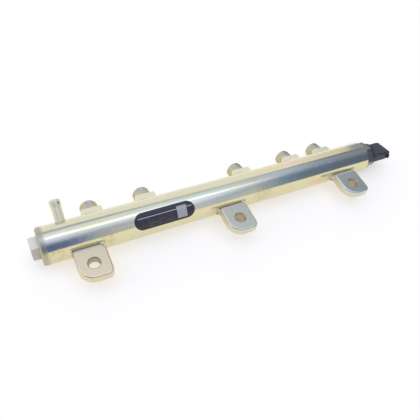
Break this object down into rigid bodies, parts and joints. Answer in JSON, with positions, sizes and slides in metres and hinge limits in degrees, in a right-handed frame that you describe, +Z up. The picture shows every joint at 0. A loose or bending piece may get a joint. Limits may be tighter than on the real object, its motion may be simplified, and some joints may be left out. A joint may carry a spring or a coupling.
{
  "type": "fuel rail",
  "caption": "Thick-walled steel tube with threaded pipe stubs and a hose barb on one side, bolt lugs on the other, a hex plug at one end and an electrical sensor at the other.",
  "frame": {"origin": "centre of the middle lug's bolt hole, in the plane that the lugs rest on", "axes": "+X along the rail from the hexagon plug to the sensor, +Z up along the lug bolts, +Y from the lugs towards the pipe stubs"},
  "size_m": [0.3285, 0.0692, 0.0319],
  "materials": {
    "plated_steel": "zinc plated, yellow passivated",
    "bare_steel": "turned, satin",
    "braze_filler": "plated over, dull",
    "copper": "plain",
    "tinned_brass": "tinned",
    "seal_rubber": "matt",
    "black_plastic": "fine spark-eroded",
    "label_film": "semi-gloss",
    "circuit_board": "lacquered"
  },
  "bodies": {
    "rail": {"rail_tube": "plated_steel", "outlet_1": "plated_steel", "outlet_2": "plated_steel", "outlet_3": "plated_steel", "outlet_4": "plated_steel", "pump_inlet": "plated_steel", "return_barb": "plated_steel", "lug_1": "plated_steel", "lug_2": "plated_steel", "lug_3": "plated_steel", "braze_1": "braze_filler", "braze_2": "braze_filler", "braze_3": "braze_filler", "end_plug": "bare_steel", "sensor_body": "bare_steel", "valve_seat": "bare_steel", "spring_shim": "bare_steel", "valve_spring": "bare_steel", "throttle_1": "bare_steel", "throttle_2": "bare_steel", "throttle_3": "bare_steel", "throttle_4": "bare_steel", "plug_seal": "copper", "sensor_oring": "seal_rubber", "sensor_board": "circuit_board", "sensor_housing": "black_plastic", "type_label": "label_film", "terminal_1": "tinned_brass", "terminal_2": "tinned_brass", "terminal_3": "tinned_brass"},
    "poppet": {"valve_poppet": "bare_steel"}
  },
  "joints": [
    {"name": "valve_lift", "type": "slide", "parent": "rail", "child": "poppet", "axis": [-1, 0, 0], "range_m": [0, 0.0008], "stiffness_N_per_m": 5000, "deforming": ["valve_spring"]}
  ]
}
